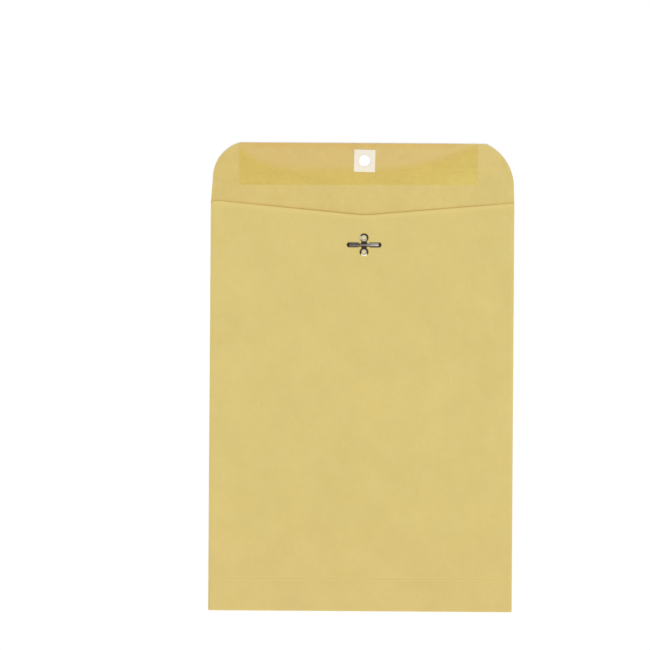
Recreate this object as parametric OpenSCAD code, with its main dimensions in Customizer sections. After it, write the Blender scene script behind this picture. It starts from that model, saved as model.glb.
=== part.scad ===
// Clasp envelope folded from one kraft blank, lying on its front with its back and opened seal flap up.
// Its width runs along X, and its height along Y towards the seal flap.
// The origin is on the underside, in the middle of the outline of the pocket and the opened flap.

/* [Pocket] */
// Width of the pocket, from side fold to side fold
pocket_w = 227.4; // [150:0.2:330]
// Height of the pocket, from the bottom fold to the flap fold
pocket_h = 306.4; // [220:0.2:450]
// Thickness of the kraft sheet
sheet_t = 0.15; // [0.12:0.01:0.25]
// How far the back swells off the front in the middle of the mouth
mouth_swell = 0.2; // [0.15:0.05:2]
// Length from the bottom fold over which the swell grows
swell_reach = 215; // [120:5:220]
// Thickness of a dried line of glue
glue_t = 0.03; // [0.02:0.01:0.06]

/* [Seam] */
// Width of the seam strip, glued under the back's raw edge
seam_w = 16; // [10:0.5:24]
// How far the back's raw edge stays inside the left fold
seam_inset = 1; // [0.8:0.1:1.8]
// How far the seam strip ends below the throat
seam_top_gap = 1.5; // [0.5:0.1:5]

/* [Throat] */
// Depth of the shallow V cut into the back's mouth
throat_depth = 9.7; // [3:0.1:20]
// Length of the level stretch at each end of the V
throat_level = 4; // [4:0.5:20]
// How far from its middle the V's point is rounded
throat_round = 3.5; // [1:0.5:20]
// How much higher the back's edge is at its raw left edge than at the right fold
mouth_skew = 0.6; // [0:0.1:2]

/* [Bottom flap] */
// Height of the flap that closes the bottom
bottom_flap_h = 24; // [14:0.5:40]
// How far the bottom flap stays inside the side folds
bottom_flap_inset = 0.6; // [0.5:0.1:3]
// How much further in its sides are at its free edge
bottom_flap_taper = 1.2; // [0:0.1:8]

/* [Seal flap] */
// Height of the seal flap
flap_h = 44.3; // [38:0.1:60]
// How far the seal flap stays inside the side folds
flap_inset = 0; // [0:0.1:3]
// Radius of its left corner, which its top edge cuts off
flap_left_r = 27.7; // [20:0.1:40]
// Height above the fold where the left corner begins
flap_left_rise = 17.6; // [8:0.1:30]
// How much further in the left side is where its corner begins
flap_left_lean = 1.4; // [0:0.1:5]
// Radius of its right corner, which its top edge cuts off
flap_right_r = 35.5; // [20:0.1:40]
// Height above the fold where the right corner begins
flap_right_rise = 12; // [8:0.1:30]
// How much further in the right side is where its corner begins
flap_right_lean = 0.4; // [0:0.1:5]

/* [Closure] */
// Distance from the flap fold to the hole
hole_reach = 31.2; // [27:0.1:36]
// Distance from the flap fold to the clasp
clasp_reach = 31.9; // [27:0.1:36]
// How far right of the middle the hole, the clasp and the throat's point lie
closure_shift = 1.3; // [-2:0.1:2]
// Diameter of the hole in the seal flap
hole_d = 9.3; // [8.5:0.1:11]
// Width of the patch that strengthens the hole
patch_w = 15.8; // [13:0.1:22]
// Height of the patch
patch_h = 16.6; // [13:0.1:22]
// Angle by which the patch is turned clockwise
patch_turn = 1; // [-2:0.1:2]
// Thickness of the patch
patch_t = 0.1; // [0.08:0.01:0.2]

/* [Gum] */
// Width of the gummed band
gum_w = 179.4; // [80:0.2:200]
// Height of the gummed band at its ends
gum_end_h = 28; // [18:0.5:30]
// Height of the gummed band in its middle
gum_mid_h = 12.4; // [6:0.2:16]
// Distance of the gummed band from the flap fold
gum_from_fold = 13.2; // [8:0.2:15]
// How far the gummed band lies off the middle
gum_shift = -3.2; // [-5:0.2:5]
// Angle by which the gummed band is turned anticlockwise
gum_turn = 0.3; // [-1:0.1:1]
// Thickness of the gum
gum_t = 0.05; // [0.03:0.01:0.08]
// Bare paper left round the patch
gum_patch_gap = 0.3; // [0.1:0.1:1]

/* [Clasp] */
// Thickness of the tinplate
tin_t = 0.28; // [0.2:0.01:0.35]
// Width of the prongs
prong_w = 3.7; // [3.2:0.1:3.9]
// Length of each prong, from its crease to its tip
prong_l = 10.3; // [8:0.1:14]
// Distance between the two creases
crease_pitch = 5.4; // [5:0.1:6]
// Width left at a crease, between its two notches
crease_w = 2.6; // [2.5:0.1:3]
// Length of the notches in a prong beside its crease
notch_l = 1; // [0.4:0.1:2]
// Air left in a crease, where the prong turns
crease_gap = 0.06; // [0.04:0.01:0.1]
// Width of the bead pressed along each prong
bead_w = 2.4; // [1.8:0.1:2.5]
// Height of the bead
bead_rise = 0.45; // [0.3:0.05:0.6]
// Flat length between a crease and the bead
bead_from_crease = 0.6; // [0.4:0.1:1.5]
// Distance between the centres of the two eyelets
eyelet_pitch = 10.7; // [10.6:0.1:13]
// Bore of an eyelet
eyelet_bore = 3.8; // [3:0.1:4]
// Width of an eyelet's rolled rim
rim_w = 1.4; // [1:0.05:1.5]
// Width of an eyelet's clinched edge under the back
clinch_w = 1.1; // [0.8:0.05:1.4]
// Clearance between an eyelet and the paper
paper_gap = 0.02; // [0.01:0.01:0.05]
// Width of the neck from the middle to each eyelet
neck_w = 4; // [3:0.1:4.4]

/* [Hidden] */
$fn = 64;

kraft_colour = [0.86, 0.77, 0.49];
patch_colour = [0.94, 0.92, 0.86];
gum_colour = [0.84, 0.75, 0.42];
tin_colour = [0.62, 0.6, 0.57];

// Steps of the folded surfaces
length_steps = 14;
width_steps = 20;
seam_steps = 2;
bottom_steps = 4;
fold_step = 30;
corner_steps = 14;

// Spare length that lets a cutter pass right through
cut = 1;

bottom_y = -(pocket_h + flap_h) / 2;
fold_y = bottom_y + pocket_h;
tip_y = fold_y + flap_h;
hole_y = fold_y + hole_reach;
clasp_y = fold_y - clasp_reach;

// Middle of each layer of paper, from the underside up
front_z = sheet_t / 2;
seam_z = front_z + 2 * sheet_t;
back_z = seam_z + sheet_t + glue_t;
bottom_flap_z = back_z + sheet_t + glue_t;

// Each fold is half a turn about its own centre
left_fold_r = (seam_z - front_z) / 2;
right_fold_r = (back_z - front_z) / 2;
bottom_fold_r = (bottom_flap_z - front_z) / 2;
left_fold_x = -pocket_w / 2 + left_fold_r + sheet_t / 2;
right_fold_x = pocket_w / 2 - right_fold_r - sheet_t / 2;
bottom_fold_y = bottom_y + bottom_fold_r + sheet_t / 2;

throat_half = pocket_w / 2 - throat_level;
throat_slope = throat_depth / (throat_half - throat_round);

function mix(a, b, share) = a * (1 - share) + b * share;

// Height of the swollen back above its place at the side folds
function swell(x, y) =
    let (across = 1 - pow(2 * x / pocket_w, 2))
    let (along = sin(90 * min(1, (y - bottom_y) / swell_reach)))
    mouth_swell * max(0, across) * along;

// Depth of the throat below the flap fold
function throat(x) = throat_slope * max(0, throat_half - norm([x - closure_shift, throat_round]));

// Upper edge of the back, where the pocket opens
function mouth_y(x) = fold_y - throat(x) + mouth_skew * (right_fold_x - x) / pocket_w;

// One line of the wrapped sheet along Y: its x, its z, the part of the swell that it takes,
// the angle of its outward normal and the y where it ends
function line_at(x, z, share, angle, end_y) = [x, z, share, angle, end_y];

function fold_line(centre_x, centre_z, r, angle) =
    line_at(centre_x + r * cos(angle), centre_z + r * sin(angle), (1 + sin(angle)) / 2, angle, fold_y);

function back_xs() = concat(
    [-pocket_w / 2 + seam_inset],
    [for (i = [0:width_steps]) closure_shift + mix(-throat_half, throat_half, i / width_steps)],
    [right_fold_x]
);

function seam_xs() =
    [for (i = [0:seam_steps]) mix(left_fold_x, -pocket_w / 2 + seam_w, i / seam_steps)];

// The sheet from the back's raw edge, round the right fold, across the front,
// round the left fold and out along the seam strip
function wrap_lines() = concat(
    [for (x = back_xs()) line_at(x, back_z, 1, 90, mouth_y(x))],
    [for (a = [90 - fold_step:-fold_step:fold_step - 90])
        fold_line(right_fold_x, front_z + right_fold_r, right_fold_r, a)],
    [line_at(right_fold_x, front_z, 0, -90, fold_y), line_at(left_fold_x, front_z, 0, -90, fold_y)],
    [for (a = [-90 - fold_step:-fold_step:fold_step - 270])
        fold_line(left_fold_x, front_z + left_fold_r, left_fold_r, a)],
    [for (x = seam_xs()) line_at(x, seam_z, 1, 90, mouth_y(x) - seam_top_gap)]
);

// Points of one face of the wrapped sheet, side 1 outside and -1 inside
function wrap_face(side) =
    [for (line = wrap_lines())
        [for (j = [0:length_steps])
            let (y = mix(bottom_fold_y, line[4], j / length_steps))
            let (off = side * sheet_t / 2)
            [line[0] + off * cos(line[3]), y, line[1] + line[2] * swell(line[0], y) + off * sin(line[3])]
        ]
    ];

// Stations of the bottom flap along its length: y, z, the part of the swell, the angle of the
// outward normal and half the flap's width
function bottom_stations() = concat(
    [for (a = [-90:-fold_step:-270])
        [bottom_fold_y + bottom_fold_r * cos(a), front_z + bottom_fold_r * (1 + sin(a)),
         (1 + sin(a)) / 2, a, pocket_w / 2 - bottom_flap_inset]],
    [for (i = [1:bottom_steps])
        let (share = i / bottom_steps)
        [mix(bottom_fold_y, bottom_y + bottom_flap_h, share), bottom_flap_z, 1, 90,
         pocket_w / 2 - bottom_flap_inset - bottom_flap_taper * share]]
);

function bottom_flap_face(side) =
    [for (i = [0:width_steps])
        [for (s = bottom_stations())
            let (x = mix(-s[4], s[4], i / width_steps))
            let (off = side * sheet_t / 2)
            [x, s[0] + off * cos(s[3]), s[1] + s[2] * swell(x, s[0]) + off * sin(s[3])]
        ]
    ];

// Solid between two faces, each a list of rows of points
module between(outside, inside) {
    rows = len(outside);
    row_len = len(outside[0]);
    last_row = rows - 1;
    last = row_len - 1;
    out = function(i, j) i * row_len + j;
    in = function(i, j) (rows + i) * row_len + j;
    polyhedron(
        points = [for (face = [outside, inside]) for (row = face) for (p = row) p],
        faces = concat(
            [for (i = [0:last_row - 1]) for (j = [0:last - 1])
                [out(i, j), out(i, j + 1), out(i + 1, j + 1), out(i + 1, j)]],
            [for (i = [0:last_row - 1]) for (j = [0:last - 1])
                [in(i, j), in(i + 1, j), in(i + 1, j + 1), in(i, j + 1)]],
            [for (j = [0:last - 1]) [out(0, j), in(0, j), in(0, j + 1), out(0, j + 1)]],
            [for (j = [0:last - 1])
                [out(last_row, j), out(last_row, j + 1), in(last_row, j + 1), in(last_row, j)]],
            [for (i = [0:last_row - 1]) [out(i, 0), out(i + 1, 0), in(i + 1, 0), in(i, 0)]],
            [for (i = [0:last_row - 1])
                [out(i, last), in(i, last), in(i + 1, last), out(i + 1, last)]]
        )
    );
}

// Right side of the seal flap, from its fold up and round a corner of radius r, which begins
// at the height rise above the fold, lean further in, and ends at the top edge
function flap_side(r, rise, lean) =
    let (side_x = pocket_w / 2 - flap_inset)
    let (centre_y = max(fold_y + rise, tip_y - r))
    let (end_a = asin((tip_y - centre_y) / r))
    concat(
        [[side_x, fold_y]],
        [for (i = [0:corner_steps])
            let (a = end_a * i / corner_steps)
            [side_x - lean + r * (cos(a) - 1), centre_y + r * sin(a)]]
    );

// Points of one face of the flat seal flap, at the height z, in rows from its right side to its left
function flap_face(z) =
    let (right = flap_side(flap_right_r, flap_right_rise, flap_right_lean))
    let (left = flap_side(flap_left_r, flap_left_rise, flap_left_lean))
    [for (i = [0:len(right) - 1]) [[right[i][0], right[i][1], z], [-left[i][0], left[i][1], z]]];

// The hole goes through the flap and its patch in one cut
module hole_cutter() {
    translate([closure_shift, hole_y, -cut])
        cylinder(d = hole_d, h = sheet_t + patch_t + 2 * cut);
}

module patch_outline(spare) {
    translate([closure_shift, hole_y])
        rotate(-patch_turn)
            square([patch_w + 2 * spare, patch_h + 2 * spare], center = true);
}

// Places its children at the two eyelets
module at_eyelets() {
    for (side = [-1, 1])
        translate([0, side * eyelet_pitch / 2, 0])
            children();
}

// Places its children on top of the back, in the middle of the clasp
module at_clasp() {
    translate([closure_shift, clasp_y, back_z + sheet_t / 2 + swell(closure_shift, clasp_y)])
        children();
}

// Rounded ridge along X between two points, the form that presses the bead
module bead_form(from_x, to_x, r) {
    centre_z = tin_t + bead_rise - bead_form_r;
    translate([0, 0, centre_z]) {
        translate([from_x, 0, 0])
            rotate([0, 90, 0])
                cylinder(r = r, h = to_x - from_x);
        for (x = [from_x, to_x])
            translate([x, 0, 0])
                sphere(r = r);
    }
}

// Radius of the arc that is bead_w wide and bead_rise high
bead_form_r = (pow(bead_w / 2, 2) + pow(bead_rise, 2)) / (2 * bead_rise);

// Tinplate with a bead pressed up out of it between two points
module beaded(from_x, to_x) {
    difference() {
        union() {
            children();
            intersection() {
                bead_form(from_x, to_x, bead_form_r);
                translate([from_x - prong_w, -prong_w, tin_t / 2])
                    cube([to_x - from_x + 2 * prong_w, 2 * prong_w, prong_w]);
            }
        }
        bead_form(from_x, to_x, bead_form_r - tin_t);
    }
}

// Lower half of a prong's outline, from its notched crease to where its round tip begins
function prong_side(tip_r) =
    let (flare = tip_r - crease_w / 2)
    [[0, -crease_w / 2], [notch_l, -crease_w / 2], [notch_l + flare, -tip_r], [prong_l - tip_r, -tip_r]];

// One prong along +X, turning about the round edge at its crease
module prong() {
    tip_r = prong_w / 2;
    side = prong_side(tip_r);
    translate([crease_pitch / 2, 0, crease_gap])
        beaded(bead_from_crease + bead_w / 2, prong_l - tip_r) {
            translate([0, crease_w / 2, tin_t / 2])
                rotate([90, 0, 0])
                    cylinder(d = tin_t, h = crease_w);
            linear_extrude(tin_t)
                polygon(concat(side, [for (i = [len(side) - 1:-1:0]) [side[i][0], -side[i][1]]]));
            translate([prong_l - tip_r, 0, 0])
                cylinder(r = tip_r, h = tin_t);
        }
}

module eyelet() {
    bore_r = eyelet_bore / 2;
    clinch_top = -sheet_t - paper_gap;
    rotate_extrude() {
        translate([bore_r, clinch_top - tin_t / 2])
            square([tin_t, tin_t - clinch_top]);
        intersection() {
            translate([bore_r + rim_w / 2, 0])
                circle(d = rim_w);
            translate([bore_r, 0])
                square([rim_w, rim_w]);
        }
        translate([bore_r, clinch_top - tin_t])
            square([clinch_w - tin_t / 2, tin_t]);
        translate([bore_r + clinch_w - tin_t / 2, clinch_top - tin_t / 2])
            circle(d = tin_t);
    }
}

module envelope() {
    color(kraft_colour)
        difference() {
            union() {
                between(wrap_face(1), wrap_face(-1));
                between(bottom_flap_face(1), bottom_flap_face(-1));
                between(flap_face(sheet_t), flap_face(0));
            }
            hole_cutter();
            at_clasp()
                at_eyelets()
                    translate([0, 0, -sheet_t - mouth_swell / 2])
                        cylinder(r = eyelet_bore / 2 + tin_t + paper_gap, h = sheet_t + mouth_swell);
        }
}

module flap_patch() {
    color(patch_colour)
        difference() {
            translate([0, 0, sheet_t])
                linear_extrude(patch_t)
                    patch_outline(0);
            hole_cutter();
        }
}

module seal_gum() {
    sag = gum_end_h - gum_mid_h;
    arc_r = (pow(gum_w / 2, 2) + pow(sag, 2)) / (2 * sag);
    color(gum_colour)
        translate([0, 0, sheet_t])
            linear_extrude(gum_t)
                difference() {
                    translate([gum_shift, fold_y + gum_from_fold])
                        rotate(gum_turn)
                            difference() {
                                translate([-gum_w / 2, 0])
                                    square([gum_w, gum_end_h]);
                                translate([0, gum_mid_h + arc_r])
                                    circle(r = arc_r, $fn = 360);
                            }
                    patch_outline(gum_patch_gap);
                }
}

module clasp_base() {
    middle_l = crease_pitch - tin_t - 2 * crease_gap;
    bead_half_l = middle_l / 2 - bead_w / 2;
    color(tin_colour)
        at_clasp()
            difference() {
                union() {
                    beaded(-bead_half_l, bead_half_l) {
                        translate([-middle_l / 2, -crease_w / 2, 0])
                            cube([middle_l, crease_w, tin_t]);
                        translate([-neck_w / 2, -eyelet_pitch / 2, 0])
                            cube([neck_w, eyelet_pitch, tin_t]);
                    }
                    at_eyelets()
                        eyelet();
                }
                at_eyelets()
                    translate([0, 0, -cut])
                        cylinder(d = eyelet_bore, h = 2 * cut + rim_w);
            }
}

module left_prong() {
    color(tin_colour)
        at_clasp()
            mirror([1, 0, 0])
                prong();
}

module right_prong() {
    color(tin_colour)
        at_clasp()
            prong();
}

envelope();
flap_patch();
seal_gum();
clasp_base();
left_prong();
right_prong();
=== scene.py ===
"""Clasp envelope folded from one kraft blank, lying on its front with its seal flap opened.

Its width runs along X and its height along Y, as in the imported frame. All sizes are in metres.
"""

import math

import bmesh
import bpy
import numpy as np
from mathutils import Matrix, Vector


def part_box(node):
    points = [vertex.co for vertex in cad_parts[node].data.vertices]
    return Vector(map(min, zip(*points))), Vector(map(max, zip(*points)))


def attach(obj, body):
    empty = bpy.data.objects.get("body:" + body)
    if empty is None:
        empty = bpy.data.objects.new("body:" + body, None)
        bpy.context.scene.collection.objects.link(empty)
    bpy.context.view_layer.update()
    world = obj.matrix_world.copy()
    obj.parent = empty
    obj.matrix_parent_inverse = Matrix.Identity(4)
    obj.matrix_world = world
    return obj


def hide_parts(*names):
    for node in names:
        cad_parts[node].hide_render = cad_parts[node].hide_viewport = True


bl_info = {
    "name": "Clasp Envelope",
    "version": (1, 0, 0),
    "blender": (4, 5, 0),
    "location": "3D View > Sidebar > Envelope",
    "description": "Folds a kraft clasp envelope round its packed frame and sets up its stage",
    "category": "Add Mesh",
}

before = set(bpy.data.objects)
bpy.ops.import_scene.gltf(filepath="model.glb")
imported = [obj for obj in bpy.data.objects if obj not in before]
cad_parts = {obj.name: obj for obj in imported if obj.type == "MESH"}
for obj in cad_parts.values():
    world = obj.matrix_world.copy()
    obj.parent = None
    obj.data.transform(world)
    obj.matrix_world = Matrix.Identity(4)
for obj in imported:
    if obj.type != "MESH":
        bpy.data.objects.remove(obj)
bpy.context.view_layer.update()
SHEET_LOW, SHEET_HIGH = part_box("envelope")

MM = 0.001
FLAP_HEIGHT = 44.3 * MM


# ---------------------------------------------------------------------------------------------
# Sizes and colours that a user may change
# ---------------------------------------------------------------------------------------------


def number(name, description, default, **settings):
    """A number property."""
    return bpy.props.FloatProperty(name=name, description=description, default=default, **settings)


def length(name, description, default, smallest=0.0, largest=1.0):
    """A length property in metres."""
    limits = {"min": smallest, "max": largest}
    return number(name, description, default, unit="LENGTH", precision=5, **limits)


def angle(name, description, degrees):
    """An angle property, whose default is given in degrees."""
    return number(name, description, math.radians(degrees), subtype="ANGLE")


def colour(name, description, default):
    """A colour property, written in linear light."""
    return bpy.props.FloatVectorProperty(
        name=name,
        description=description,
        default=default,
        size=3,
        min=0.0,
        max=1.0,
        subtype="COLOR",
    )


class EnvelopeSheet(bpy.types.PropertyGroup):
    """Sizes of the folded kraft sheet."""

    pocket_width: length("Pocket Width", "Side fold to side fold", SHEET_HIGH.x - SHEET_LOW.x)
    pocket_height: length(
        "Pocket Height", "Bottom fold to flap fold", SHEET_HIGH.y - SHEET_LOW.y - FLAP_HEIGHT
    )
    thickness: length("Sheet Thickness", "Thickness of the kraft sheet", 0.15 * MM)
    mouth_swell: length(
        "Mouth Swell", "How far the back swells off the front at the mouth", 0.2 * MM
    )
    swell_reach: length(
        "Swell Reach", "Length over which the swell grows from the bottom", 215 * MM
    )
    glue: length("Glue Line", "Thickness of a dried line of glue", 0.03 * MM)
    seam_width: length("Seam Width", "Width of the seam strip under the back's raw edge", 16 * MM)
    seam_inset: length("Seam Inset", "Raw edge of the back to the left fold", 1 * MM)
    seam_top_gap: length("Seam Top Gap", "How far the seam strip ends below the throat", 1.5 * MM)
    throat_depth: length("Throat Depth", "Depth of the shallow V cut into the mouth", 9.7 * MM)
    throat_level: length("Throat Level", "Level stretch at each end of the V", 4 * MM)
    throat_round: length("Throat Rounding", "How far from its middle the V is rounded", 3.5 * MM)
    mouth_skew: length("Mouth Slant", "How much higher the back's edge is at the left", 0.6 * MM)
    bottom_flap_height: length(
        "Bottom Flap Height", "Height of the flap that closes the bottom", 24 * MM
    )
    bottom_flap_inset: length("Bottom Flap Inset", "Bottom flap to the side folds", 0.6 * MM)
    bottom_flap_taper: length("Bottom Flap Taper", "How much further in its free edge is", 1.2 * MM)
    flap_height: length("Seal Flap Height", "Height of the opened seal flap", FLAP_HEIGHT)
    flap_inset: length("Seal Flap Inset", "Seal flap to the side folds", 0)
    flap_left_radius: length(
        "Left Corner Radius", "Radius of the seal flap's left corner", 27.7 * MM
    )
    flap_left_rise: length("Left Corner Rise", "Fold to where the left corner begins", 17.6 * MM)
    flap_left_lean: length("Left Side Lean", "How much further in the left side is there", 1.4 * MM)
    flap_right_radius: length(
        "Right Corner Radius", "Radius of the seal flap's right corner", 35.5 * MM
    )
    flap_right_rise: length("Right Corner Rise", "Fold to where the right corner begins", 12 * MM)
    flap_right_lean: length(
        "Right Side Lean", "How much further in the right side is there", 0.4 * MM
    )
    flap_lift: length(
        "Flap Lift", "How far the tip of the opened flap springs off the floor", 0.5 * MM
    )
    wave: length("Wave Height", "Height of the slow waves of the dry sheet", 0.04 * MM)


class EnvelopeClosure(bpy.types.PropertyGroup):
    """Sizes of the hole, its patch and the gum on the seal flap."""

    hole_reach: length("Hole Reach", "Flap fold to the hole", 31.2 * MM)
    clasp_reach: length("Clasp Reach", "Flap fold to the clasp", 31.9 * MM)
    shift: length(
        "Closure Shift", "How far right of the middle hole, clasp and throat lie", 1.3 * MM, -1.0
    )
    hole_diameter: length("Hole Diameter", "Diameter of the hole in the seal flap", 9.3 * MM)
    patch_width: length("Patch Width", "Width of the patch round the hole", 15.8 * MM)
    patch_height: length("Patch Height", "Height of the patch", 16.6 * MM)
    patch_turn: angle("Patch Turn", "Turn of the patch, clockwise", 1)
    patch_thickness: length("Patch Thickness", "Thickness of the patch", 0.1 * MM)
    gum_width: length("Gum Width", "Width of the gummed band", 179.4 * MM)
    gum_from_fold: length("Gum from Fold", "Distance of the gummed band from the fold", 13.2 * MM)
    gum_shift: length("Gum Shift", "How far the band lies to the left of the middle", 3.2 * MM)
    gum_turn: angle("Gum Turn", "Turn of the gummed band, anticlockwise", 0.3)
    gum_fade: length("Gum Fade", "Width over which the gum thins out at its upper edge", 9 * MM)
    gum_middle: length(
        "Gum Middle", "Height of the gum in its middle, where it has thinned out", 16.5 * MM
    )
    gum_left_rise: length("Gum Left Rise", "How much higher the gum ends at the left", 16.3 * MM)
    gum_right_rise: length("Gum Right Rise", "How much higher the gum ends at the right", 19.6 * MM)
    gum_top_gap: length("Gum Top Gap", "Least width of bare paper left above the gum", 0.5 * MM)
    gum_thickness: length("Gum Thickness", "Thickness of the dried gum", 0.05 * MM)
    gum_patch_gap: length("Gum Patch Gap", "Bare paper left round the patch", 0.3 * MM)


class EnvelopeClasp(bpy.types.PropertyGroup):
    """Sizes of the tinplate clasp."""

    tin: length("Tin Thickness", "Thickness of the tinplate", 0.28 * MM)
    prong_width: length("Prong Width", "Width of the prongs", 3.7 * MM)
    prong_length: length("Prong Length", "Crease to tip", 10.3 * MM)
    crease_pitch: length("Crease Pitch", "Distance between the two creases", 5.4 * MM)
    crease_width: length("Crease Width", "Width left between the notches of a crease", 2.6 * MM)
    notch_length: length("Notch Length", "Length of the notches beside a crease", 1 * MM)
    crease_gap: length("Crease Gap", "Air left in a crease, where the prong turns", 0.06 * MM)
    bead_width: length("Bead Width", "Width of the bead pressed along a prong", 2.4 * MM)
    middle_bead_width: length(
        "Middle Bead Width", "Width of the bead on the middle plate", 1.7 * MM
    )
    bead_rise: length("Bead Rise", "Height of the pressed bead", 0.45 * MM)
    bead_from_crease: length("Bead from Crease", "Flat length between crease and bead", 0.6 * MM)
    eyelet_pitch: length("Eyelet Pitch", "Distance between the two eyelets", 10.7 * MM)
    eyelet_bore: length("Eyelet Bore", "Bore of an eyelet", 3.8 * MM)
    eyelet_draw: length(
        "Eyelet Draw", "How far an eyelet's barrel draws in below its rim", 0.35 * MM
    )
    rim_width: length("Rim Width", "Width of an eyelet's rolled rim", 1.4 * MM)
    clinch_width: length("Clinch Width", "Width of the clinched edge under the back", 1.1 * MM)
    paper_gap: length("Paper Gap", "Clearance between an eyelet and the paper", 0.02 * MM)
    neck_width: length("Neck Width", "Width of the neck from the middle to an eyelet", 4 * MM)


class EnvelopeColours(bpy.types.PropertyGroup):
    """Colours of the paper, the gum and the tinplate."""

    kraft: colour("Kraft", "Outside of the kraft sheet", (0.706, 0.574, 0.213))
    inside: colour(
        "Kraft Inside", "Inside of the kraft sheet, as on the opened flap", (0.689, 0.537, 0.194)
    )
    coated: colour("Kraft above Gum", "Inside of the sheet above the gum", (0.688, 0.510, 0.189))
    gum: colour("Gum", "Dried gum on the seal flap", (0.665, 0.487, 0.117))
    pale_gum: colour("Pale Gum", "Thick gum at the lower right of the band", (0.692, 0.536, 0.136))
    patch: colour("Patch", "White paper of the patch", (0.904, 0.837, 0.724))
    tin: colour("Tinplate", "Clean tinplate", (0.56, 0.53, 0.50))
    # Dark tin, laid as painted shade and dark reflection on the clasp, and where it is tarnished
    tarnish_and_shade: colour("Tarnish", "Tinplate darkened by handling", (0.050, 0.032, 0.018))
    # Bright tin, laid as a painted highlight
    bright: colour("Bright Tin", "Tinplate rubbed bright", (0.96, 0.88, 0.71))
    floor: colour("Floor", "Pale floor", (0.96, 0.96, 0.96))


class EnvelopeStudio(bpy.types.PropertyGroup):
    """Camera and light."""

    camera_x: length("Camera X", "Place of the camera along X", -27.58 * MM, -1.0)
    camera_y: length("Camera Y", "Place of the camera along Y", 38.98 * MM, -1.0)
    camera_height: length("Camera Height", "Height of the camera above the floor", 1.6, 0.1, 10.0)
    focal_length: number("Focal Length", "Focal length in millimetres", 118.2, unit="CAMERA")
    camera_roll: angle("Camera Roll", "Turn of the camera about its view", 0.39)
    sky_strength: number("Sky Strength", "Strength of the soft light all round", 0.99, min=0.0)
    key_strength: number("Key Strength", "Strength of the soft key light", 0.6, min=0.0)


# ---------------------------------------------------------------------------------------------
# Shapes worked out with numpy
# ---------------------------------------------------------------------------------------------


def eased(value):
    """Share from 0 to 1 with a soft start and end: 3 v squared minus 2 v cubed."""
    v = np.clip(value, 0.0, 1.0)
    return v * v * (3 - 2 * v)


def spaced(*stops):
    """Values from the first stop to the last. A stop is (value, longest step to the next one)."""
    parts = []
    for (start, step), (end, _) in zip(stops, stops[1:]):
        count = max(1, math.ceil(abs(end - start) / step - 1e-6))
        parts.append(np.linspace(start, end, count, endpoint=False))
    return np.concatenate([*parts, [stops[-1][0]]])


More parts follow.
